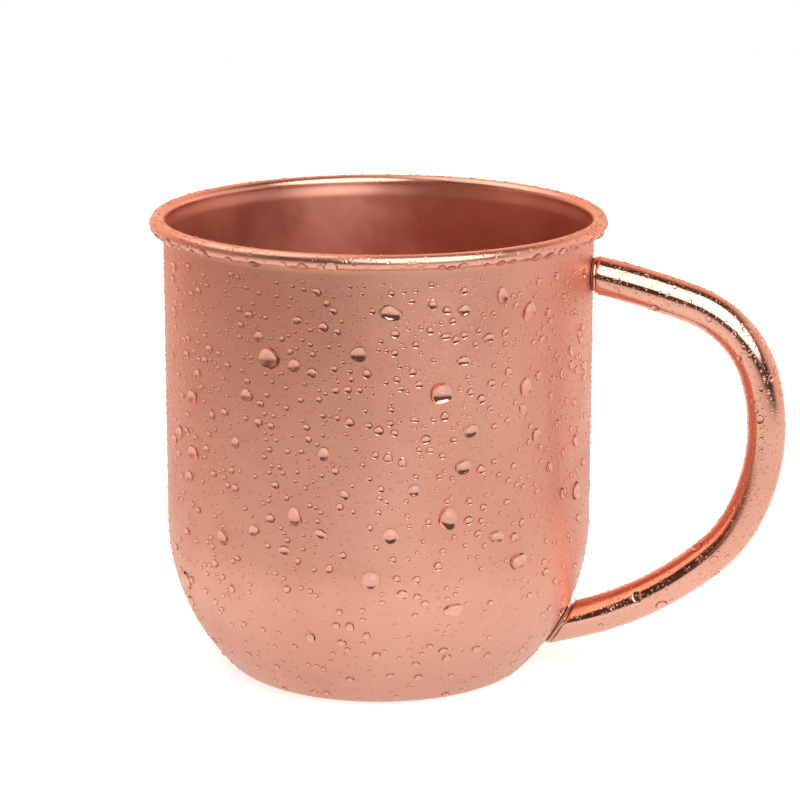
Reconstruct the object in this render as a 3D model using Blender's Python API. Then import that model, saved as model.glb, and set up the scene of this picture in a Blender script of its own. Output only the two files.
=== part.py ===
"""A copper mug: a drawn cup with a rolled rim, and a bent tube handle brazed to its wall.

Units are metres and +Z is up. The origin is the middle of the flat base. The handle is on
the +X side, in the XZ plane.
"""
import math

import bmesh
import bpy
from mathutils import Vector

# Cup, drawn from one copper sheet. Radii are those of the outside face.
WALL_RADIUS = 0.0435
RIM_TOP = 0.0945
SHEET = 0.0006
BOWL_RADIUS = 0.0430
BOWL_ANGLE = math.radians(44.0)
FOOT_RADIUS = 0.0050

# Rim roll: the sheet flares a little, then curls outward and down, with its edge left open
ROLL_RADIUS = 0.0015
ROLL_REACH = 0.0027
ROLL_TURN = math.radians(290.0)
FLARE_HEIGHT = 0.0030

# Handle: a bent tube. Each bend is its length and how far the tube turns along it.
TUBE_RADIUS = 0.00385
TUBE_WALL = 0.0009
HANDLE_TOP = 0.0831
HANDLE_SLOPE = math.radians(11.5)
HANDLE_BENDS = (
    (0.0207, math.radians(7.5)),
    (0.0219, math.radians(56.0)),
    (0.0312, math.radians(44.0)),
    (0.0074, math.radians(17.0)),
    (0.0325, math.radians(29.0)),
)

# Joint of the handle to the cup, as distances out from the cup's outside face
BRAZE_NEAR = 0.00012
BRAZE_FAR = 0.00040
FLANGE_NEAR = 0.00052
FLANGE_FAR = 0.00102
TUBE_END = 0.00118
BRAZE_RADIUS = 0.0033
FLANGE_RADIUS = 0.0036
SPIGOT_RADIUS = 0.0028
SPIGOT_LENGTH = 0.0070
RUN_IN = 0.0100

# Fineness of the faceted surfaces
TURN_STEPS = 64
FOOT_STEPS = 4
BOWL_STEPS = 8
FLARE_STEPS = 3
CURL_STEPS = 11
ROUND_STEPS = 16
TUBE_RINGS = 36
ROD_RINGS = 4

# How far the guide blocks reach above the rim
GUIDE_RISE = 0.0100

COPPER = (0.72, 0.33, 0.22, 1.0)
POLISHED_COPPER = (0.78, 0.36, 0.24, 1.0)
BRAZE_METAL = (0.30, 0.16, 0.11, 1.0)


def clear_scene():
    """Remove every object that is already in the file."""
    for thing in list(bpy.data.objects):
        bpy.data.objects.remove(thing, do_unlink=True)


def metal(name, colour, roughness):
    """A bare metal surface."""
    material = bpy.data.materials.new(name)
    material.use_nodes = True
    shader = material.node_tree.nodes["Principled BSDF"]
    shader.inputs["Base Color"].default_value = colour
    shader.inputs["Metallic"].default_value = 1.0
    shader.inputs["Roughness"].default_value = roughness
    return material


def new_object(name, shape, material=None):
    """Turn a bmesh into an object whose faces point out."""
    bmesh.ops.recalc_face_normals(shape, faces=shape.faces)
    mesh = bpy.data.meshes.new(name)
    shape.to_mesh(mesh)
    shape.free()
    if material:
        mesh.materials.append(material)
        mesh.shade_smooth()
        mesh.set_sharp_from_angle(angle=math.radians(35.0))
    thing = bpy.data.objects.new(name, mesh)
    bpy.context.scene.collection.objects.link(thing)
    if not material:
        thing.hide_render = True
        thing.display_type = "WIRE"
    return thing


def boolean(thing, operation, other):
    """Combine an object with a guide that stays hidden."""
    step = thing.modifiers.new(operation.lower(), "BOOLEAN")
    step.operation = operation
    step.solver = "EXACT"
    step.object = other


def arc(centre, radius, start, stop, steps):
    """Points on an arc, from one angle to another, both ends included."""
    points = []
    for step in range(steps + 1):
        angle = start + (stop - start) * step / steps
        points.append((centre[0] + radius * math.cos(angle), centre[1] + radius * math.sin(angle)))
    return points


def cup_side(offset):
    """Base, foot and bowl of the cup's outline, moved out from its outside face by offset."""
    bowl_height = FOOT_RADIUS + (BOWL_RADIUS - FOOT_RADIUS) * math.sin(BOWL_ANGLE)
    bowl_centre = (WALL_RADIUS - BOWL_RADIUS, bowl_height)
    foot_out = (BOWL_RADIUS - FOOT_RADIUS) * math.cos(BOWL_ANGLE)
    foot_centre = (bowl_centre[0] + foot_out, FOOT_RADIUS)
    foot = arc(foot_centre, FOOT_RADIUS + offset, -math.pi / 2, -BOWL_ANGLE, FOOT_STEPS)
    bowl = arc(bowl_centre, BOWL_RADIUS + offset, -BOWL_ANGLE, 0.0, BOWL_STEPS)
    return [(0.0, -offset)] + foot + bowl[1:]


def cup_rim(offset):
    """Flare and outward curl of the rim, moved out from the wall's outside face by offset."""
    curl_centre = (WALL_RADIUS + ROLL_REACH - ROLL_RADIUS, RIM_TOP - ROLL_RADIUS)
    curl_radius = ROLL_RADIUS - SHEET - offset
    flare = ROLL_REACH - 2.0 * ROLL_RADIUS + SHEET
    points = []
    for step in range(FLARE_STEPS):
        rise = step / FLARE_STEPS
        out = flare * rise * rise * (3.0 - 2.0 * rise)
        points.append((WALL_RADIUS + offset + out, curl_centre[1] - FLARE_HEIGHT * (1.0 - rise)))
    return points + arc(curl_centre, curl_radius, math.pi, math.pi - ROLL_TURN, CURL_STEPS)


def turned(name, outline, material=None):
    """Spin an outline, given as radius and height from axis to axis, into a closed solid."""
    shape = bmesh.new()
    corners = [shape.verts.new((radius, 0.0, height)) for radius, height in outline]
    edges = [shape.edges.new(pair) for pair in zip(corners, corners[1:])]
    bmesh.ops.spin(
        shape,
        geom=corners + edges,
        axis=(0.0, 0.0, 1.0),
        cent=(0.0, 0.0, 0.0),
        angle=2.0 * math.pi,
        steps=TURN_STEPS,
        use_merge=True,
    )
    bmesh.ops.remove_doubles(shape, verts=shape.verts, dist=0.000001)
    return new_object(name, shape, material)


def cup_block(name, offset):
    """A hidden block of the cup's outside shape, larger all round by offset."""
    top = (WALL_RADIUS + offset, RIM_TOP + GUIDE_RISE)
    return turned(name, cup_side(offset) + [top, (0.0, top[1])])


def handle_length():
    """Length of all the bends, from the straight wall round to just outside the bowl."""
    return sum(length for length, _ in HANDLE_BENDS)


def handle_place(distance):
    """Point and direction on the handle's middle line; it runs on straight past both ends."""
    x = WALL_RADIUS
    z = HANDLE_TOP
    heading = HANDLE_SLOPE
    left = distance
    for length, turn in HANDLE_BENDS:
        if left <= 0.0:
            break
        run = min(left, length)
        curve = turn / length
        ahead = heading + curve * run
        x += (math.sin(ahead) - math.sin(heading)) / curve
        z += (math.cos(ahead) - math.cos(heading)) / curve
        heading = ahead
        left -= run
    direction = Vector((math.cos(heading), 0.0, -math.sin(heading)))
    return Vector((x, 0.0, z)) + direction * left, direction


def ring(shape, distance, radius):
    """A ring of corners around the handle's middle line."""
    centre, direction = handle_place(distance)
    side = Vector((0.0, 1.0, 0.0))
    up = direction.cross(side)
    corners = []
    for step in range(ROUND_STEPS):
        angle = 2.0 * math.pi * step / ROUND_STEPS
        corners.append(shape.verts.new(centre + radius * (math.cos(angle) * up + math.sin(angle) * side)))
    return corners


def bridge(shape, first, second):
    """Join two rings with a band of faces."""
    for step in range(ROUND_STEPS):
        after = (step + 1) % ROUND_STEPS
        shape.faces.new((first[step], first[after], second[after], second[step]))


def skin(shape, radius, start, stop, count):
    """A round skin along the handle's middle line; returns its first and last ring."""
    rings = [ring(shape, start + (stop - start) * step / count, radius) for step in range(count + 1)]
    for first, second in zip(rings, rings[1:]):
        bridge(shape, first, second)
    return rings[0], rings[-1]


def rod(name, radius, start, stop, material=None):
    """A short solid rod along the handle's middle line."""
    shape = bmesh.new()
    for end in skin(shape, radius, start, stop, ROD_RINGS):
        shape.faces.new(end)
    return new_object(name, shape, material)


def make_cup():
    """The cup: outside face up to the rim's edge, then back down the inside face."""
    outside = cup_side(0.0) + cup_rim(0.0)
    inside = cup_side(-SHEET) + cup_rim(-SHEET)
    return turned("cup_shell", outside + inside[::-1], metal("satin_copper", COPPER, 0.35))


def make_handle():
    """The handle: a bent tube, both ends cut to the shape of the cup."""
    shape = bmesh.new()
    start = -RUN_IN
    stop = handle_length() + RUN_IN
    outer = skin(shape, TUBE_RADIUS, start, stop, TUBE_RINGS)
    inner = skin(shape, TUBE_RADIUS - TUBE_WALL, start, stop, TUBE_RINGS)
    bridge(shape, outer[0], inner[0])
    bridge(shape, outer[1], inner[1])
    handle = new_object("handle_tube", shape, metal("polished_copper", POLISHED_COPPER, 0.15))
    boolean(handle, "DIFFERENCE", cup_block("guide_tube_end", TUBE_END))


def guide_pair(piece, near, far):
    """Hidden blocks that bound a layer of a handle joint on its cup side and its tube side."""
    return cup_block("guide_" + piece + "_near", near), cup_block("guide_" + piece + "_far", far)


def make_plug(level, start, stop, near, far):
    """An end plug: a thin flange shaped to the cup, and a spigot that reaches up the tube."""
    name = level + "_end_plug"
    plug = rod(name, FLANGE_RADIUS, start, stop, metal(name, COPPER, 0.25))
    boolean(plug, "INTERSECT", far)
    boolean(plug, "UNION", rod("guide_" + level + "_spigot", SPIGOT_RADIUS, start, stop))
    boolean(plug, "DIFFERENCE", near)


def make_braze(level, start, stop, near, far):
    """The filler metal between a plug's flange and the cup."""
    name = level + "_braze"
    braze = rod(name, BRAZE_RADIUS, start, stop, metal(name, BRAZE_METAL, 0.5))
    boolean(braze, "INTERSECT", far)
    boolean(braze, "DIFFERENCE", near)


def main():
    """Build every piece of the mug."""
    clear_scene()
    make_cup()
    make_handle()
    flange_guides = guide_pair("flange", FLANGE_NEAR, FLANGE_FAR)
    braze_guides = guide_pair("braze", BRAZE_NEAR, BRAZE_FAR)
    end = handle_length()
    joints = (("upper", -RUN_IN, SPIGOT_LENGTH), ("lower", end + RUN_IN, end - SPIGOT_LENGTH))
    for level, start, stop in joints:
        make_plug(level, start, stop, *flange_guides)
        make_braze(level, start, stop, *braze_guides)


main()
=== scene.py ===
"""Looks of the copper mug: metal surfaces, condensation, studio light and the camera."""
import math
import random

import bmesh
import bpy
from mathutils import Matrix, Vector


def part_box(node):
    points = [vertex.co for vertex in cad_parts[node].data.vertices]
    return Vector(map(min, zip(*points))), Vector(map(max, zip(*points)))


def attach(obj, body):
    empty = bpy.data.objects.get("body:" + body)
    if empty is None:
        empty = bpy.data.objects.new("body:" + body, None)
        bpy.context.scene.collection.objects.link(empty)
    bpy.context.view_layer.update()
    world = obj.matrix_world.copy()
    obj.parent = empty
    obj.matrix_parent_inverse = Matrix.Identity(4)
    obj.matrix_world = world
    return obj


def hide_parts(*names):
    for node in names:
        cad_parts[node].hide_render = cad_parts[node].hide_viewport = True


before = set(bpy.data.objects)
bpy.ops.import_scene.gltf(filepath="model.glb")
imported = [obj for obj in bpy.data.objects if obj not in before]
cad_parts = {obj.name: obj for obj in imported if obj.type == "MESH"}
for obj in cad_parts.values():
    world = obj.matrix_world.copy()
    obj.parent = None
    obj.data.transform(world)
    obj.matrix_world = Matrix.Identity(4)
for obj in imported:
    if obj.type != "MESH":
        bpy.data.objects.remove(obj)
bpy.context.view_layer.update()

# ---------------------------------------------------------------- sizes
# The cup's top and its reach come from the frame; the rest repeats the cup's own design.
CUP_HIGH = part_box("cup_shell")[1]
RIM_TOP = CUP_HIGH.z
RIM_RADIUS = CUP_HIGH.x

ROLL_REACH = 0.0027
ROLL_RADIUS = 0.0015
ROLL_TURN = math.radians(290.0)
FLARE_HEIGHT = 0.0030
WALL_RADIUS = RIM_RADIUS - ROLL_REACH
SHEET = 0.0006
BOWL_RADIUS = 0.0430
BOWL_ANGLE = math.radians(44.0)
FOOT_RADIUS = 0.0050
FOOT_CENTRE = (
    WALL_RADIUS - BOWL_RADIUS + (BOWL_RADIUS - FOOT_RADIUS) * math.cos(BOWL_ANGLE),
    FOOT_RADIUS,
)
BOWL_CENTRE = (
    WALL_RADIUS - BOWL_RADIUS,
    FOOT_RADIUS + (BOWL_RADIUS - FOOT_RADIUS) * math.sin(BOWL_ANGLE),
)
ROLL_CENTRE = (RIM_RADIUS - ROLL_RADIUS, RIM_TOP - ROLL_RADIUS)

TUBE_RADIUS = 0.00385
TUBE_BORE = 0.00295
TUBE_EDGE = 0.00012
HANDLE_TOP = 0.0831
HANDLE_SLOPE = math.radians(11.5)
HANDLE_BENDS = (
    (0.0207, math.radians(7.5)),
    (0.0219, math.radians(56.0)),
    (0.0312, math.radians(44.0)),
    (0.0074, math.radians(17.0)),
    (0.0325, math.radians(29.0)),
)
HANDLE_LENGTH = sum(length for length, _ in HANDLE_BENDS)

# Joint layers: nearest and farthest gap from the cup, and radius
BRAZE = (0.00012, 0.00040, 0.0033)
FLANGE = (0.00052, 0.00102, 0.0036)
LAYER_EDGE = 0.00008
TUBE_END = 0.00118
SPIGOT_RADIUS = 0.0028
SPIGOT_LENGTH = 0.0070
LAYER_SHARES = (0.05, 0.35, 0.65, 0.9)
TIP_SHARE = 0.1

# Fineness: steps round the cup and up its outline, then round and along the tube
CUP_STEPS = 256
FOOT_STEPS = 10
BOWL_STEPS = 28
WALL_STEPS = 8
FLARE_STEPS = 8
ROLL_STEPS = 36
TUBE_STEPS = 64
TUBE_RINGS = 170
EDGE_STEPS = 4

# Edges that turn more than this show as a crease
CREASE = math.radians(50.0)

# A line along the handle meets the cup within this far of the end of the middle line
JOINT_SPAN = 0.010
HALVINGS = 40

# ---------------------------------------------------------------- mesh helpers


def make_object(name, points, faces, materials, marks=None):
    """A smooth closed mesh that rides on the mug; marks gives each face its material."""
    mesh = bpy.data.meshes.new(name)
    mesh.from_pydata(points, [], faces)
    for material in materials:
        mesh.materials.append(material)
    if marks:
        mesh.polygons.foreach_set("material_index", marks)
    shape = bmesh.new()
    shape.from_mesh(mesh)
    bmesh.ops.recalc_face_normals(shape, faces=shape.faces)
    shape.to_mesh(mesh)
    shape.free()
    mesh.shade_smooth()
    mesh.set_sharp_from_angle(angle=CREASE)
    thing = bpy.data.objects.new(name, mesh)
    bpy.context.scene.collection.objects.link(thing)
    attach(thing, "root")
    return thing


def round_angles(steps):
    """Even angles once round."""
    return [2.0 * math.pi * step / steps for step in range(steps)]


def arc(centre, radius, start, stop, steps):
    """Points on an arc, both ends included."""
    points = []
    for step in range(steps + 1):
        angle = start + (stop - start) * step / steps
        points.append((centre[0] + radius * math.cos(angle), centre[1] + radius * math.sin(angle)))
    return points


def cup_side(offset):
    """Base, foot, bowl and wall outline, moved out from the outside face by offset."""
    points = [(0.0, -offset), (FOOT_CENTRE[0] * 0.5, -offset)]
    points += arc(FOOT_CENTRE, FOOT_RADIUS + offset, -math.pi / 2, -BOWL_ANGLE, FOOT_STEPS)
    points += arc(BOWL_CENTRE, BOWL_RADIUS + offset, -BOWL_ANGLE, 0.0, BOWL_STEPS)[1:]
    low = BOWL_CENTRE[1]
    high = ROLL_CENTRE[1] - FLARE_HEIGHT
    for step in range(1, WALL_STEPS + 1):
        points.append((WALL_RADIUS + offset, low + (high - low) * step / WALL_STEPS))
    return points


def cup_flare(offset):
    """The slight flare between the wall and the roll."""
    flare = ROLL_REACH - 2.0 * ROLL_RADIUS + SHEET
    low = ROLL_CENTRE[1] - FLARE_HEIGHT
    points = []
    for step in range(1, FLARE_STEPS):
        rise = step / FLARE_STEPS
        out = flare * rise * rise * (3.0 - 2.0 * rise)
        points.append((WALL_RADIUS + offset + out, low + FLARE_HEIGHT * rise))
    return points


def cup_roll(offset):
    """The rim, curled outward and down."""
    curl = ROLL_RADIUS - SHEET - offset
    return arc(ROLL_CENTRE, curl, math.pi, math.pi - ROLL_TURN, ROLL_STEPS)


def turn_outline(parts):
    """Points, faces and face marks of a closed shape turned from outline parts, axis to axis."""
    outline = [(radius, height, mark) for mark, part in parts for radius, height in part]
    points = []
    rings = []
    for radius, height, mark in outline:
        if radius < 1e-9:
            rings.append(([len(points)] * CUP_STEPS, mark))
            points.append((0.0, 0.0, height))
            continue
        rings.append((list(range(len(points), len(points) + CUP_STEPS)), mark))
        for angle in round_angles(CUP_STEPS):
            points.append((radius * math.cos(angle), radius * math.sin(angle), height))
    faces = []
    marks = []
    for (low, mark), (high, _) in zip(rings, rings[1:]):
        for step in range(CUP_STEPS):
            after = (step + 1) % CUP_STEPS
            corners = [low[step], low[after], high[after], high[step]]
            faces.append(tuple(dict.fromkeys(corners)))
            marks.append(mark)
    return points, faces, marks


def handle_place(distance):
    """Point and direction on the handle's middle line; it runs on straight past both ends."""
    x, z = WALL_RADIUS, HANDLE_TOP
    heading = HANDLE_SLOPE
    left = distance
    for length, turn in HANDLE_BENDS:
        if left <= 0.0:
            break
        run = min(left, length)
        curve = turn / length
        ahead = heading + curve * run
        x += (math.sin(ahead) - math.sin(heading)) / curve
        z += (math.cos(ahead) - math.cos(heading)) / curve
        heading = ahead
        left -= run
    direction = Vector((math.cos(heading), 0.0, -math.sin(heading)))
    return Vector((x, 0.0, z)) + direction * left, direction


def handle_point(distance, angle, radius):
    """A point off the handle's middle line; angle 0 is its outer side."""
    centre, direction = handle_place(distance)
    side = Vector((0.0, 1.0, 0.0))
    outward = direction.cross(side)
    return centre + radius * (math.cos(angle) * outward + math.sin(angle) * side)


def cup_distance(point):
    """How far a point is outside the cup's outside face, near the handle's joints."""
    across = math.hypot(point.x, point.y)
    if point.z >= BOWL_CENTRE[1]:
        return across - WALL_RADIUS
    return math.hypot(across - BOWL_CENTRE[0], point.z - BOWL_CENTRE[1]) - BOWL_RADIUS


def reach(lower, angle, radius, gap):
    """Distance along the handle where a line on it stands off the cup by gap."""
    inside = HANDLE_LENGTH + JOINT_SPAN if lower else -JOINT_SPAN
    outside = HANDLE_LENGTH - JOINT_SPAN if lower else JOINT_SPAN
    for _ in range(HALVINGS):
        middle = (inside + outside) / 2
        if cup_distance(handle_point(middle, angle, radius)) < gap:
            inside = middle
        else:
            outside = middle
    return (inside + outside) / 2


def join_rings(rings, closed):
    """Joins equal rings into a closed shape: round into itself, or capped at both ends."""
    points = [point for ring in rings for point in ring]
    steps = len(rings[0])
    count = len(rings)
    faces = []
    for index in range(count if closed else count - 1):
        low = index * steps
        high = (index + 1) % count * steps
        for step in range(steps):
            after = (step + 1) % steps
            faces.append((low + step, low + after, high + after, high + step))
    if not closed:
        faces.append(tuple(range(steps)))
        faces.append(tuple(range((count - 1) * steps, count * steps)))
    return points, faces


# ---------------------------------------------------------------- node helpers


class Nodes:
    """Shorthand for building one node tree."""

    def __init__(self, tree):
        self.tree = tree

    def add(self, kind, inputs=None, **settings):
        """A new node with its settings; inputs are values or sockets, by name or number."""
        node = self.tree.nodes.new(kind)
        for key, value in settings.items():
            setattr(node, key, value)
        for key, value in (inputs or {}).items():
            self.feed(node.inputs[key], value)
        return node

    def feed(self, socket, value):
        if isinstance(value, bpy.types.NodeSocket):
            self.tree.links.new(value, socket)
        else:
            socket.default_value = value

    def math(self, operation, first, second=0.0):
        return self.add("ShaderNodeMath", {0: first, 1: second}, operation=operation).outputs[0]

    def ramp(self, value, low, high, out_low=0.0, out_high=1.0):
        """Smooth step from out_low to out_high as value goes from low to high."""
        node = self.add(
            "ShaderNodeMapRange",
            {0: value, 1: low, 2: high, 3: out_low, 4: out_high},
            interpolation_type="SMOOTHSTEP",
        )
        return node.outputs[0]

    def noise(self, place, scale, detail=2.0, roughness=0.5):
        node = self.add(
            "ShaderNodeTexNoise",
            {"Vector": place, "Scale": scale, "Detail": detail, "Roughness": roughness},
        )
        return node.outputs[0]

    def mix(self, factor, first, second):
        node = self.add("ShaderNodeMix", {0: factor, 6: first, 7: second}, data_type="RGBA")
        return node.outputs[2]

    def bump(self, height, distance, strength, normal=None):
        node = self.add(
            "ShaderNodeBump", {"Strength": strength, "Distance": distance, "Height": height}
        )
        if normal:
            self.feed(node.inputs["Normal"], normal)
        return node.outputs[0]


def new_material(name):
    """A material with its node shorthand and its Principled shader."""
    material = bpy.data.materials.new(name)
    material.use_nodes = True
    tree = material.node_tree
    return material, Nodes(tree), tree.nodes["Principled BSDF"]


# Scales of the noise in the copper, per metre
CLOUD_SCALE = 35.0
SMEAR_SCALE = 120.0
GRAIN_SCALE = 2600.0
LINE_SCALE = 5000.0
# Squeezes the pattern sideways, so that its lines run level round the mug
LINE_STRETCH = (0.06, 0.06, 1.0)
GRAIN_HEIGHT = 0.00003
# Films of mist: beads per metre, share of cells that hold one, height
MIST_FILMS = ((1500.0, 0.5, 0.00010), (2800.0, 0.4, 0.00006))


def mist(nodes, place, scale, fill):
    """Height of a film of tiny beads, one in each cell, of uneven sizes."""
    cells = nodes.add("ShaderNodeTexVoronoi", {"Vector": place, "Scale": scale}, feature="F1")
    size = nodes.add("ShaderNodeSeparateColor", {0: cells.outputs["Color"]}).outputs[0]
    edge = nodes.ramp(size, 1.0 - fill, 1.0, 0.0, 0.40)
    inside = nodes.math("SUBTRACT", edge, cells.outputs["Distance"])
    return nodes.ramp(inside, 0.0, 0.20)


def copper(name, bright, deep, rough_low, rough_high, grain, wet):
    """Copper with cloudy colour and sheen, a fine grain, and a film of mist where it is wet."""
    material, nodes, shader = new_material(name)
    place = nodes.add("ShaderNodeTexCoord").outputs["Object"]
    tone = nodes.ramp(nodes.noise(place, CLOUD_SCALE, 3.0, 0.55), 0.3, 0.7)
    nodes.feed(shader.inputs["Base Color"], nodes.mix(tone, deep, bright))
    smear = nodes.noise(place, SMEAR_SCALE, 4.0, 0.6)
    nodes.feed(shader.inputs["Roughness"], nodes.ramp(smear, 0.3, 0.7, rough_low, rough_high))
    shader.inputs["Metallic"].default_value = 1.0
    fine = nodes.noise(place, GRAIN_SCALE, 2.0, 0.6)
    squeeze = nodes.add("ShaderNodeMapping", {"Vector": place, "Scale": LINE_STRETCH})
    lines = nodes.noise(squeeze.outputs[0], LINE_SCALE, 3.0, 0.6)
    height = nodes.math("ADD", nodes.math("MULTIPLY", fine, 0.6), nodes.math("MULTIPLY", lines, 0.4))
    normal = nodes.bump(height, GRAIN_HEIGHT, grain)
    if wet:
        for scale, fill, rise in MIST_FILMS:
            normal = nodes.bump(mist(nodes, place, scale, fill), rise, wet, normal)
    nodes.feed(shader.inputs["Normal"], normal)
    return material


WATER_IOR = 1.333
RIPPLE_SCALE = 900.0
RIPPLE_HEIGHT = 0.00005


def clear_water():
    """Clear water, its face very slightly uneven."""
    material, nodes, shader = new_material("clear_water")
    place = nodes.add("ShaderNodeTexCoord").outputs["Object"]
    ripple = nodes.noise(place, RIPPLE_SCALE, 1.0, 0.4)
    nodes.feed(shader.inputs["Normal"], nodes.bump(ripple, RIPPLE_HEIGHT, 0.05))
    shader.inputs["Base Color"].default_value = (1.0, 1.0, 1.0, 1.0)
    shader.inputs["Roughness"].default_value = 0.0
    shader.inputs["IOR"].default_value = WATER_IOR
    shader.inputs["Transmission Weight"].default_value = 1.0
    return material


# ---------------------------------------------------------------- materials
BRIGHT_COPPER = (0.82, 0.415, 0.31, 1.0)
DEEP_COPPER = (0.76, 0.355, 0.26, 1.0)
BRIGHT_POLISHED = (0.87, 0.45, 0.34, 1.0)
DEEP_POLISHED = (0.81, 0.40, 0.295, 1.0)
BRIGHT_FILLER = (0.50, 0.25, 0.18, 1.0)
DEEP_FILLER = (0.32, 0.17, 0.13, 1.0)

# Each copper: bright and deep colour, lowest and highest roughness, grain, mist
SATIN = copper("copper_satin_wet", BRIGHT_COPPER, DEEP_COPPER, 0.38, 0.46, 0.35, 0.30)
SATIN_DRY = copper("copper_satin_dry", BRIGHT_COPPER, DEEP_COPPER, 0.33, 0.42, 0.25, 0.0)
RIM_COPPER = copper("copper_rim", BRIGHT_POLISHED, DEEP_POLISHED, 0.25, 0.33, 0.25, 0.10)
POLISHED = copper("copper_polished", BRIGHT_POLISHED, DEEP_POLISHED, 0.10, 0.16, 0.15, 0.35)
CLEARED = copper("copper_cleared", BRIGHT_POLISHED, DEEP_POLISHED, 0.07, 0.10, 0.03, 0.0)
FILLER = copper("braze_metal", BRIGHT_FILLER, DEEP_FILLER, 0.40, 0.60, 0.50, 0.0)
WATER = clear_water()

# ---------------------------------------------------------------- metal pieces


def make_cup():
    """The cup: one sheet, wet satin outside, smoother on its rim, dry satin inside."""
    wet, rim, dry = 0, 1, 2
    parts = (
        (wet, cup_side(0.0) + cup_flare(0.0)),
        (rim, cup_roll(0.0) + cup_roll(-SHEET)[::-1]),
        (dry, cup_flare(-SHEET)[::-1] + cup_side(-SHEET)[::-1]),
    )
    points, faces, marks = turn_outline(parts)
    cup = make_object("cup_body", points, faces, [SATIN, RIM_COPPER, SATIN_DRY], marks)
    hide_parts("cup_shell")


def make_tube():
    """The bent tube, each end shaped to stand off the cup evenly, with its edges eased."""
    angles = round_angles(TUBE_STEPS)

    def ends(radius):
        return [[reach(lower, turn, radius, TUBE_END) for lower in (False, True)] for turn in angles]

    outer = ends(TUBE_RADIUS)
    inner = ends(TUBE_BORE)

    def ring(limits, share, inset, radius):
        points = []
        for turn, (first, last) in zip(angles, limits):
            start, stop = first + inset, last - inset
            points.append(handle_point(start + (stop - start) * share, turn, radius))
        return points

    eased = []
    for step in range(EDGE_STEPS + 1):
        turn = math.pi / 2 * step / EDGE_STEPS
        inset = TUBE_EDGE * (1.0 - math.sin(turn))
        eased.append((inset, TUBE_RADIUS - TUBE_EDGE * (1.0 - math.cos(turn))))
    rings = [ring(outer, 0.0, inset, radius) for inset, radius in eased[::-1]]
    rings += [ring(outer, index / TUBE_RINGS, TUBE_EDGE, TUBE_RADIUS) for index in range(1, TUBE_RINGS)]
    rings += [ring(outer, 1.0, inset, radius) for inset, radius in eased]
    half = TUBE_RINGS // 2
    rings += [ring(inner, 1.0 - index / half, 0.0, TUBE_BORE) for index in range(half + 1)]
    points, faces = join_rings(rings, True)
    tube = make_object("handle", points, faces, [POLISHED])
    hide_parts("handle_tube")


def make_layer(name, node, lower, layer, material, spigot):
    """A thin layer shaped to the cup, with a spigot where it is a plug."""
    near, far, radius = layer
    angles = round_angles(TUBE_STEPS)

    def ring(gap, size):
        return [handle_point(reach(lower, angle, size, gap), angle, size) for angle in angles]

    def flat_ring(distance, size):
        return [handle_point(distance, angle, size) for angle in angles]

    rings = [ring(near, radius * share) for share in LAYER_SHARES]
    rings.append(ring(near, radius - LAYER_EDGE))
    rings.append(ring(near + LAYER_EDGE, radius))
    rings.append(ring(far - LAYER_EDGE, radius))
    rings.append(ring(far, radius - LAYER_EDGE))
    if spigot:
        tip = HANDLE_LENGTH - SPIGOT_LENGTH if lower else SPIGOT_LENGTH
        rings.append(ring(far, SPIGOT_RADIUS))
        rings.append(flat_ring(tip, SPIGOT_RADIUS))
        rings.append(flat_ring(tip, SPIGOT_RADIUS * TIP_SHARE))
    else:
        rings += [ring(far, radius * share) for share in LAYER_SHARES[::-1]]
    points, faces = join_rings(rings, False)
    piece = make_object(name, points, faces, [material])
    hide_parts(node)


make_cup()
make_tube()
for level in ("upper", "lower"):
    is_lower = level == "lower"
    make_layer(
        level + "_plug", level + "_end_plug", is_lower, FLANGE, POLISHED, True
    )
    make_layer(level + "_braze_metal", level + "_braze", is_lower, BRAZE, FILLER, False)

# ---------------------------------------------------------------- condensation
# The front is the side towards the photo's viewpoint, as an angle round the cup's axis; a run
# is a length up the outline of its outside
CAMERA_AZIMUTH = math.radians(9.0)
FRONT = CAMERA_AZIMUTH - math.pi / 2
FOOT_RUN = FOOT_RADIUS * (math.pi / 2 - BOWL_ANGLE)
BOWL_RUN = BOWL_RADIUS * BOWL_ANGLE
WALL_RUN = ROLL_CENTRE[1] - FLARE_HEIGHT - BOWL_CENTRE[1]
WET_RUN = FOOT_RUN + BOWL_RUN + WALL_RUN

# A drop's skirt goes this far into the metal, and its cleared patch lies this far above it
SINK = 0.00003
CLEARED_LIFT = 0.00001
# Sizes of the skirt's foot and of the cleared patch, as shares of the drop's edge
SKIRT_SHARE = 0.97
CLEARED_SHARE = 0.94
# Drops over this size stay off the sides that make the outline seen from the front; each
# limit is how squarely a drop has to face the front or the back, as a cosine
CALM_SIZE = 0.0008
CALM_SIDES = 0.32
CALM_TUBE_SIDES = 0.45
# How much farther apart than touching drops stay
CLEARANCE = 1.12

# Bead in the handle's crook: half its depth, width and height
CROOK_BEAD = (0.0011, 0.0022, 0.0013)
CROOK_GAP = 0.0004
CROOK_STEPS = 24
CROOK_RINGS = 12


def cup_surface(around, up):
    """Point and outward direction on the cup's outside; up runs from the foot's edge."""
    if up < FOOT_RUN:
        angle = -math.pi / 2 + up / FOOT_RADIUS
        centre, radius = FOOT_CENTRE, FOOT_RADIUS
    elif up < FOOT_RUN + BOWL_RUN:
        angle = -BOWL_ANGLE + (up - FOOT_RUN) / BOWL_RADIUS
        centre, radius = BOWL_CENTRE, BOWL_RADIUS
    else:
        angle = 0.0
        centre, radius = (BOWL_CENTRE[0], BOWL_CENTRE[1] + up - FOOT_RUN - BOWL_RUN), BOWL_RADIUS
    across = centre[0] + radius * math.cos(angle)
    out = Vector((math.cos(around), math.sin(around), 0.0))
    normal = out * math.cos(angle) + Vector((0.0, 0.0, math.sin(angle)))
    return out * across + Vector((0.0, 0.0, centre[1] + radius * math.sin(angle))), normal


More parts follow.
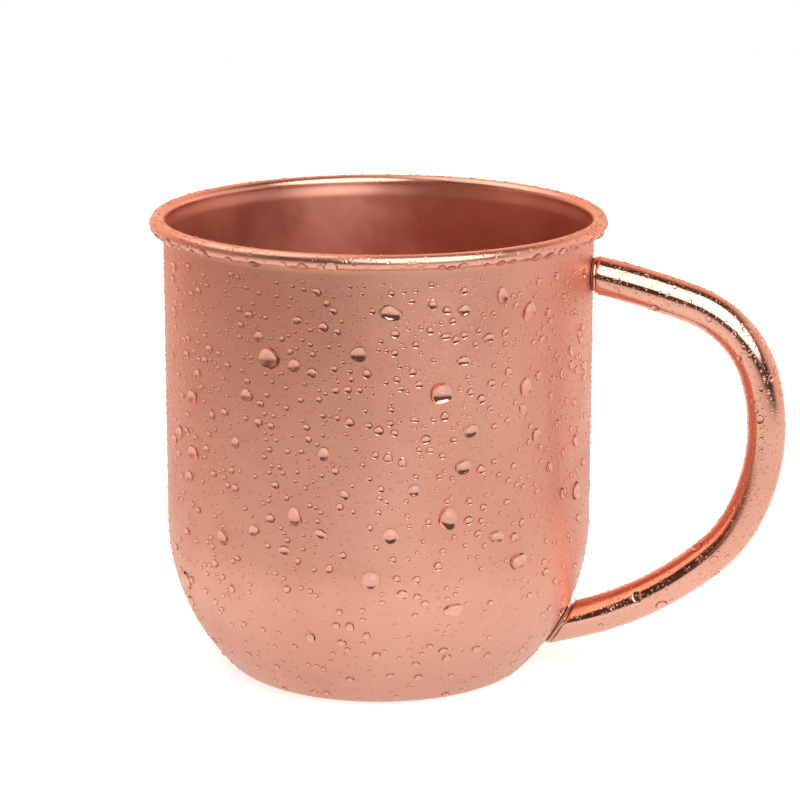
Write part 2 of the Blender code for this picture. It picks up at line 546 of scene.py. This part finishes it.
def run_at(height):
    """The run up the outside face that comes to a height above the base."""
    if height >= BOWL_CENTRE[1]:
        return FOOT_RUN + BOWL_RUN + height - BOWL_CENTRE[1]
    sine = max((height - BOWL_CENTRE[1]) / BOWL_RADIUS, -math.sin(BOWL_ANGLE))
    return FOOT_RUN + BOWL_RADIUS * (math.asin(sine) + BOWL_ANGLE)


def cup_chart(around, up):
    """Chart for a drop on the cup: sideways and upward offsets to a point and its normal."""
    start = cup_surface(around, up)[0]
    across = math.hypot(start.x, start.y)

    def place(side, rise):
        return cup_surface(around + side / across, up + rise)

    return place


def rim_chart(around, roll):
    """Chart for a drop on the rim roll; roll is the angle round the roll, 0 outward."""
    def place(side, rise):
        angle = around + side / RIM_RADIUS
        turn = roll + rise / ROLL_RADIUS
        out = Vector((math.cos(angle), math.sin(angle), 0.0))
        normal = out * math.cos(turn) + Vector((0.0, 0.0, math.sin(turn)))
        middle = out * ROLL_CENTRE[0] + Vector((0.0, 0.0, ROLL_CENTRE[1]))
        return middle + normal * ROLL_RADIUS, normal

    return place


def tube_chart(distance, angle):
    """Chart for a drop on the handle tube."""
    def place(side, rise):
        turn = angle + side / TUBE_RADIUS
        point = handle_point(distance - rise, turn, TUBE_RADIUS)
        middle = handle_place(distance - rise)[0]
        return point, (point - middle).normalized()

    return place


class Drops:
    """Water drops gathered into one mesh; each may lie on a small patch cleared of mist."""

    def __init__(self, chance):
        self.chance = chance
        self.points = []
        self.faces = []
        self.marks = []

    def outline(self, wide, long, lean, taper, wobble, steps):
        """The drop's edge on its chart: an uneven oval, wider at its foot where taper is high."""
        waves = []
        for count in (2, 3, 4):
            size = self.chance.uniform(0.0, wobble) / (count - 1)
            waves.append((count, size, self.chance.uniform(0.0, 2.0 * math.pi)))
        edge = []
        for angle in round_angles(steps):
            swell = 1.0 + sum(size * math.cos(count * angle + phase) for count, size, phase in waves)
            side = wide / 2 * swell * math.cos(angle) * (1.0 - taper * math.sin(angle))
            rise = long / 2 * swell * math.sin(angle)
            turned_side = side * math.cos(lean) - rise * math.sin(lean)
            edge.append((turned_side, side * math.sin(lean) + rise * math.cos(lean)))
        return edge

    def ring(self, place, edge, share, fall, height):
        """Adds a ring of points at a share of the edge; returns its first point's number."""
        first = len(self.points)
        for side, rise in edge:
            point, normal = place(side * share, rise * share - fall)
            self.points.append(point + normal * height)
        return first

    def band(self, low, high, steps, mark):
        """Joins two rings."""
        for step in range(steps):
            after = (step + 1) % steps
            self.faces.append((low + step, low + after, high + after, high + step))
            self.marks.append(mark)

    def add(
        self, place, wide, long, steps, rings, tall, sag, lean=0.0, taper=0.0, wobble=0.05, cleared=0
    ):
        """One drop: a round cap on an uneven oval edge, its crown let down by sag.

        Its height is a share, tall, of half its smaller side. A drop that has cleared the mist
        gets cleared rings of bare copper under it.
        """
        edge = self.outline(wide, long, lean, taper, wobble, steps)
        half = min(wide, long) / 2
        ball = (1.0 + tall * tall) / (2.0 * tall)
        skirt = self.ring(place, edge, SKIRT_SHARE, 0.0, -SINK)
        low = skirt
        for ring in range(rings):
            share = math.cos(math.pi / 2 * ring / rings)
            height = half * (math.sqrt(ball * ball - share * share) - ball + tall)
            high = self.ring(place, edge, share, sag * half * (1.0 - share * share), height)
            self.band(low, high, steps, 0)
            low = high
        crown = self.ring(place, [(0.0, 0.0)], 0.0, sag * half, half * tall)
        for step in range(steps):
            self.faces.append((low + step, low + (step + 1) % steps, crown))
            self.marks.append(0)
        low = skirt
        for ring in range(cleared):
            share = CLEARED_SHARE * (1.0 - ring / cleared)
            high = self.ring(place, edge, share, 0.0, CLEARED_LIFT)
            self.band(low, high, steps, 1)
            low = high
        self.faces.append(tuple(low + step for step in reversed(range(steps))))
        self.marks.append(1 if cleared else 0)

    def finish(self, name):
        """Turns the gathered drops into one piece."""
        make_object(name, self.points, self.faces, [WATER, CLEARED], self.marks)


class Layout:
    """Keeps drops apart on a chart that wraps round the mug."""

    def __init__(self, wrap, cell=0.005):
        self.cells = max(int(round(wrap / cell)), 1)
        self.wrap = wrap
        self.cell = wrap / self.cells
        self.kept = {}

    def free(self, side, rise, radius):
        """Whether a drop fits here; one that does is kept."""
        side %= self.wrap
        column = int(side // self.cell)
        row = int(rise // self.cell)
        for x in (-1, 0, 1):
            for y in (-1, 0, 1):
                for other in self.kept.get(((column + x) % self.cells, row + y), ()):
                    gap = abs(side - other[0])
                    gap = min(gap, self.wrap - gap)
                    if math.hypot(gap, rise - other[1]) < (radius + other[2]) * CLEARANCE:
                        return False
        self.kept.setdefault((column % self.cells, row), []).append((side, rise, radius))
        return True


# The larger drops on the front: degrees to the right of the front, height of its middle, width
# and length in millimetres, lean in degrees, taper. Their spots were picked in the photo. A
# scratch script turned most of them into angle, height and size, which were then rounded, and
# some changed by hand.
FRONT_DROPS = (
    (3, 83, 4.5, 3.0, -10, 0.1), (-5, 75, 3.5, 3.0, -25, 0.1), (-29, 73, 4.5, 4.5, 0, 0.1),
    (-22, 72, 2.5, 3.0, -35, -0.2), (16, 67, 4.5, 4.5, 10, 0.1), (24, 59, 3.5, 2.5, 25, 0.0),
    (-14, 55, 2.5, 3.0, 0, 0.1), (22, 52, 3.5, 3.0, -15, 0.1), (-22, 42, 3.0, 4.0, 5, 0.1),
    (18, 42, 4.0, 4.5, -10, 0.1), (3, 39, 3.5, 3.0, 20, 0.1), (32, 37, 3.5, 2.5, -20, 0.0),
    (-2, 30, 4.0, 3.5, 0, 0.0), (20, 23, 4.0, 3.0, 10, 0.0), (39, 31, 4.0, 3.5, 0, -0.1),
    (41, 66, 3.0, 4.0, 0, 0.1), (33, 85, 2.5, 3.5, 10, 0.1), (42, 81, 3.0, 4.0, -20, 0.0),
    (-14, 80, 2.0, 2.0, 0, 0.0), (-21, 81, 2.5, 1.5, 10, 0.0), (22, 73, 3.0, 2.0, 5, 0.1),
    (27, 65, 2.0, 2.0, 10, 0.0), (9, 48, 2.5, 2.5, 0, 0.1), (-15, 39, 2.5, 2.0, -15, 0.0),
    (-34, 38, 2.5, 2.5, 0, 0.1), (-45, 35, 2.5, 3.5, 20, 0.0), (6, 27, 2.5, 2.0, -20, 0.0),
    (-19, 17, 2.0, 2.5, 10, 0.0), (-35, 81, 2.5, 1.5, 0, 0.1), (17, 78, 2.5, 1.5, 0, 0.0),
    (22, 83, 2.5, 2.5, 0, 0.2), (29, 77, 2.5, 2.0, 0, 0.0), (45, 56, 2.5, 2.5, 20, 0.0),
    (-36, 65, 3.0, 2.5, 0, 0.2), (-29, 41, 2.0, 2.0, 0, 0.1), (-32, 77, 2.0, 2.5, 0, 0.2),
    (-17, 71, 2.5, 2.0, -20, 0.2), (0, 60, 2.0, 2.0, 0, 0.1), (27, 51, 2.0, 2.0, 0, 0.1),
    (-40, 55, 2.0, 2.5, 0, 0.1), (-66, 22, 3.0, 4.0, 0, 0.1), (-66, 53, 2.5, 3.0, 0, 0.0),
    (-60, 45, 2.5, 2.5, 0, 0.0), (12, 58, 2.0, 2.0, 0, 0.1), (-25, 35, 2.5, 2.0, 10, 0.1),
)

HAND_PLACED = {"steps": 32, "rings": 10, "tall": 0.65, "sag": 0.12, "wobble": 0.10, "cleared": 3}

# Random drops on the cup: piece, how many, smallest and largest width, sides, rings, cleared
CUP_DROPS = (
    ("large", 90, 0.0020, 0.0036, 28, 8, 3),
    ("medium", 820, 0.0010, 0.0020, 16, 5, 2),
    ("small", 3000, 0.00045, 0.0010, 10, 4, 1),
    ("fine", 6400, 0.00022, 0.00045, 6, 3, 1),
)
# How strongly sizes lean to the small end
SIZE_SKEW = 1.7
# The share of drops kept rises from LEAST_WET at the foot to all at FULLY_WET of the way up
LEAST_WET = 0.22
FULLY_WET = 0.62
# Share of the foot's run that stays dry
DRY_FOOT = 0.6
# Large random drops keep off the base, and off the front, where they are listed
LARGE_LOWEST = 0.014
LARGE_FRONT = 0.55
# Width at which a drop is as uneven as it gets
UNEVEN_SIZE = 0.002

# Random drops on the rim: how many tries, smallest and largest width, sides, rings, whether
# they hang under the roll
RIM_DROPS = ((150, 0.0010, 0.0024, 18, 6, True), (900, 0.0003, 0.0009, 10, 3, False))
# Where they are round the roll in radians, 0 outward and up positive: mean and spread for
# those that hang, lowest and highest for the others
HANGING_ROLL = (-0.85, 0.2)
RIM_ROLL = (-1.2, 1.9)

# Random drops on the handle: how many tries, smallest and largest width, sides, rings
HANDLE_DROPS = (
    (22, 0.0013, 0.0024, 20, 6),
    (300, 0.0006, 0.0013, 12, 4),
    (3600, 0.0002, 0.0006, 6, 2),
)
HANDLE_CELL = 0.0035
HANDLE_DRY_ENDS = (0.003, 0.004)
LEAST_WET_TUBE = 0.25
SMALL_SKEW = 1.6


def wet_cup():
    """Drops all over the outside of the cup, fewer towards the base."""
    chance = random.Random(20261)
    layout = Layout(2.0 * math.pi * WALL_RADIUS)
    groups = {}
    for name, *_ in CUP_DROPS:
        for side in ("front", "back"):
            groups[name, side] = Drops(chance)
    for turn, height, wide, long, lean, taper in FRONT_DROPS:
        around = FRONT + math.radians(turn)
        height, wide, long = height / 1000.0, wide / 1000.0, long / 1000.0
        up = run_at(height)
        layout.free(around * WALL_RADIUS, up, (wide + long) / 4)
        groups["large", "front"].add(
            cup_chart(around, up), wide, long, lean=math.radians(lean), taper=taper, **HAND_PLACED
        )
    for name, count, low, high, steps, rings, cleared in CUP_DROPS:
        made = 0
        while made < count:
            size = low + (high - low) * chance.random() ** SIZE_SKEW
            up = chance.uniform(FOOT_RUN * DRY_FOOT, WET_RUN - size)
            around = chance.uniform(0.0, 2.0 * math.pi)
            wet = min(1.0, (up / (FULLY_WET * WET_RUN)) ** 2)
            ahead = math.cos(around - FRONT)
            if name == "large" and (ahead > LARGE_FRONT or up < LARGE_LOWEST):
                continue
            if size > CALM_SIZE and abs(ahead) < CALM_SIDES:
                continue
            if chance.random() > LEAST_WET + (1.0 - LEAST_WET) * wet:
                continue
            if not layout.free(around * WALL_RADIUS, up, size / 2):
                continue
            grown = min(1.0, size / UNEVEN_SIZE)
            long = size * (1.0 + chance.uniform(-0.25, 0.30) * grown)
            groups[name, "front" if ahead > 0.0 else "back"].add(
                cup_chart(around, up), size, long, steps, rings,
                tall=chance.uniform(0.50, 0.62), lean=chance.uniform(-0.4, 0.4),
                taper=chance.uniform(-0.1, 0.2) * grown, sag=0.12 * grown, wobble=0.10 * grown,
                cleared=cleared,
            )
            made += 1
    for (name, side), drops in groups.items():
        drops.finish("drops_cup_" + name + "_" + side)


def wet_rim():
    """Drops hanging along the foot of the rim roll, and fine ones over it."""
    chance = random.Random(511)
    drops = Drops(chance)
    layout = Layout(2.0 * math.pi * RIM_RADIUS)
    for count, low, high, steps, rings, hanging in RIM_DROPS:
        for _ in range(count):
            size = low + (high - low) * chance.random() ** SMALL_SKEW
            around = chance.uniform(0.0, 2.0 * math.pi)
            roll = chance.gauss(*HANGING_ROLL) if hanging else chance.uniform(*RIM_ROLL)
            if layout.free(around * RIM_RADIUS, roll * ROLL_RADIUS, size / 2):
                drops.add(rim_chart(around, roll), size * 1.2, size, steps, rings, tall=0.5, sag=0.15)
    drops.finish("drops_rim")


def wet_handle():
    """Drops along the handle: a few large ones, and fine beads mostly on its upper side."""
    chance = random.Random(77)
    drops = Drops(chance)
    layout = Layout(2.0 * math.pi * TUBE_RADIUS, cell=HANDLE_CELL)
    first, last = HANDLE_DRY_ENDS
    for count, low, high, steps, rings in HANDLE_DROPS:
        for _ in range(count):
            size = low + (high - low) * chance.random() ** SMALL_SKEW
            distance = chance.uniform(first, HANDLE_LENGTH - last)
            angle = chance.uniform(0.0, 2.0 * math.pi)
            outward = handle_point(distance, angle, 1.0) - handle_place(distance)[0]
            upward = outward.z * 0.5 + 0.5
            if chance.random() > LEAST_WET_TUBE + (1.0 - LEAST_WET_TUBE) * upward:
                continue
            if size > CALM_SIZE and abs(outward.y) < CALM_TUBE_SIDES:
                continue
            if layout.free(angle * TUBE_RADIUS, distance, size / 2):
                long = size * chance.uniform(0.9, 1.25)
                drops.add(tube_chart(distance, angle), size, long, steps, rings, tall=0.5, sag=0.0)
    drops.finish("drops_handle")


def wet_crook():
    """Water held in the upper crook of the handle's lower joint."""
    inner_side = math.pi
    distance = reach(True, inner_side, TUBE_RADIUS, CROOK_GAP)
    middle = handle_point(distance, inner_side, TUBE_RADIUS)
    deep, wide, high = CROOK_BEAD
    rows = []
    for ring in range(1, CROOK_RINGS):
        tilt = math.pi * ring / CROOK_RINGS
        size = math.sin(tilt)
        row = []
        for turn in round_angles(CROOK_STEPS):
            offset = (deep * size * math.cos(turn), wide * math.cos(tilt), high * size * math.sin(turn))
            row.append(middle + Vector(offset))
        rows.append(row)
    points, faces = join_rings(rows, False)
    make_object("drop_in_crook", points, faces, [WATER])


wet_cup()
wet_rim()
wet_handle()
wet_crook()

# ---------------------------------------------------------------- studio
# The camera, level distance taken from the cup's axis and the lens in millimetres; a scratch
# script fitted it to the cup's outline in the photo
CAMERA_DISTANCE = 0.6157
CAMERA_HEIGHT = 0.2079
CAMERA_PITCH = math.radians(13.92)
CAMERA_SHIFT = 0.0266
CAMERA_LENS = 139.0

# The floor as the copper mirrors it glows, a painted pool of light: its colour by the mug, where
# that fades to the room's and how far the pool's middle lies to the right. The glow's strength by
# the mug is near radius, far radius, near value, far value, and so is the painted shadow at its foot.
FLOOR_RADIUS = 0.9
FLOOR_STEPS = 96
FLOOR_HEIGHT = -0.0001
NEAR_FLOOR = (1.02, 1.00, 0.96, 1.0)
FLOOR_FADE = (0.20, 0.64)
FLOOR_SHIFT = 0.10
NEAR_GLOW = (0.08, 0.20, 1.05, 0.93)
FOOT_SHADE = (0.025, 0.075, 0.80, 1.0)

# The floor as the camera sees it: plain white paper with a little light of its own
PAPER = (0.8, 0.8, 0.8, 1.0)
PAPER_GLOW = 0.62

ROOM_SHADE = (0.07, 0.05, 0.045, 1.0)
WHITE = (1.0, 1.0, 1.0, 1.0)
AIM_HEIGHT = 0.05

# Soft pools of light on the room's walls: azimuth (0 is the front, more is to the right),
# elevation, angle of its even middle, angle where it ends, colour
POOLS = (
    (180, 10, 30, 75, (1.00, 0.62, 0.46)),
    (100, 0, 10, 48, (0.90, 0.75, 0.70)),
    (-96, 0, 15, 45, (0.40, 0.26, 0.21)),
    (-42, -6, 4, 18, (0.36, 0.20, 0.14)),
    (-105, 56, 15, 36, (1.80, 1.62, 1.52)),
)


def add_camera():
    """The camera, at the photograph's viewing angle."""
    data = bpy.data.cameras.new("camera")
    data.lens = CAMERA_LENS
    data.sensor_width = 36.0
    data.shift_x = CAMERA_SHIFT
    data.clip_start = 0.01
    data.clip_end = 20.0
    camera = bpy.data.objects.new("camera", data)
    camera.location = (
        CAMERA_DISTANCE * math.sin(CAMERA_AZIMUTH),
        -CAMERA_DISTANCE * math.cos(CAMERA_AZIMUTH),
        CAMERA_HEIGHT,
    )
    camera.rotation_euler = (math.pi / 2 - CAMERA_PITCH, 0.0, CAMERA_AZIMUTH)
    bpy.context.scene.collection.objects.link(camera)
    bpy.context.scene.camera = camera


def heading(azimuth, elevation):
    """Unit direction from the mug; azimuth 0 is the front, and more is to the right."""
    turn = FRONT + math.radians(azimuth)
    rise = math.radians(elevation)
    return Vector((math.cos(turn) * math.cos(rise), math.sin(turn) * math.cos(rise), math.sin(rise)))


def add_softbox(name, azimuth, elevation, distance, width, height, power):
    """A soft oval light that faces the mug."""
    data = bpy.data.lights.new(name, "AREA")
    data.shape = "ELLIPSE"
    data.size = width
    data.size_y = height
    data.energy = power
    lamp = bpy.data.objects.new(name, data)
    back = heading(azimuth, elevation)
    lamp.location = Vector((0.0, 0.0, AIM_HEIGHT)) + back * distance
    lamp.rotation_mode = "QUATERNION"
    lamp.rotation_quaternion = back.to_track_quat("Z", "Y")
    lamp.visible_camera = False
    bpy.context.scene.collection.objects.link(lamp)


def room(nodes, direction):
    """Colour of the room in a direction: a dim room with soft pools of light."""
    colour = ROOM_SHADE
    for azimuth, elevation, middle, end, tint in POOLS:
        toward = nodes.add(
            "ShaderNodeVectorMath",
            {0: direction, 1: heading(azimuth, elevation)},
            operation="DOT_PRODUCT",
        ).outputs["Value"]
        low = math.cos(math.radians(end))
        share = nodes.ramp(toward, low, math.cos(math.radians(middle)))
        colour = nodes.add(
            "ShaderNodeMix",
            {0: share, 6: colour, 7: (*tint, 1.0)},
            data_type="RGBA",
            blend_type="ADD",
        ).outputs[2]
    return colour


def add_world():
    """The room all round, with a plain white backdrop behind the picture."""
    world = bpy.data.worlds.new("studio")
    bpy.context.scene.world = world
    world.use_nodes = True
    nodes = Nodes(world.node_tree)
    background = world.node_tree.nodes["Background"]
    walls = room(nodes, nodes.add("ShaderNodeTexCoord").outputs["Generated"])
    seen = nodes.add("ShaderNodeLightPath").outputs["Is Camera Ray"]
    nodes.feed(background.inputs["Color"], nodes.mix(seen, walls, WHITE))
    background.inputs["Strength"].default_value = 1.0


def add_floor():
    """A plain white floor; in reflections it glows, a painted pool of light round the mug with a
    painted shadow at its foot, falling off to the room.
    """
    mesh = bpy.data.meshes.new("floor")
    corners = []
    for angle in round_angles(FLOOR_STEPS):
        corners.append((FLOOR_RADIUS * math.cos(angle), FLOOR_RADIUS * math.sin(angle), FLOOR_HEIGHT))
    mesh.from_pydata(corners, [], [tuple(range(FLOOR_STEPS))])
    material = bpy.data.materials.new("floor_white")
    material.use_nodes = True
    tree = material.node_tree
    tree.nodes.clear()
    nodes = Nodes(tree)
    place = nodes.add("ShaderNodeTexCoord").outputs["Object"]
    outward = nodes.add("ShaderNodeVectorMath", {0: place}, operation="NORMALIZE").outputs[0]
    middle = heading(90.0, 0.0) * FLOOR_SHIFT
    from_mug = nodes.add("ShaderNodeVectorMath", {0: place}, operation="LENGTH").outputs["Value"]
    from_pool = nodes.add(
        "ShaderNodeVectorMath", {0: place, 1: middle}, operation="DISTANCE"
    ).outputs["Value"]
    # What the copper mirrors is painted light: the floor glows, brighter near the mug, with a painted
    # shadow at its foot, fading to the room's colour.
    away = nodes.ramp(from_pool, *FLOOR_FADE)
    share = nodes.math(
        "MULTIPLY", nodes.ramp(from_mug, *NEAR_GLOW), nodes.ramp(from_mug, *FOOT_SHADE)
    )
    pool = nodes.add(
        "ShaderNodeEmission", {0: nodes.mix(away, NEAR_FLOOR, room(nodes, outward)), 1: share}
    )
    paper = nodes.add("ShaderNodeBsdfDiffuse", {0: PAPER})
    glow = nodes.add("ShaderNodeEmission", {0: WHITE, 1: PAPER_GLOW})
    lit = nodes.add("ShaderNodeAddShader", {0: paper.outputs[0], 1: glow.outputs[0]})
    seen = nodes.add("ShaderNodeLightPath").outputs["Is Camera Ray"]
    both = nodes.add("ShaderNodeMixShader", {0: seen, 1: pool.outputs[0], 2: lit.outputs[0]})
    nodes.add("ShaderNodeOutputMaterial", {0: both.outputs[0]})
    mesh.materials.append(material)
    floor = bpy.data.objects.new("floor", mesh)
    bpy.context.scene.collection.objects.link(floor)


add_camera()
add_world()
add_floor()
add_softbox("key", azimuth=25.0, elevation=39.0, distance=1.2, width=1.46, height=1.48, power=16.0)
bpy.context.scene.view_settings.view_transform = "Standard"
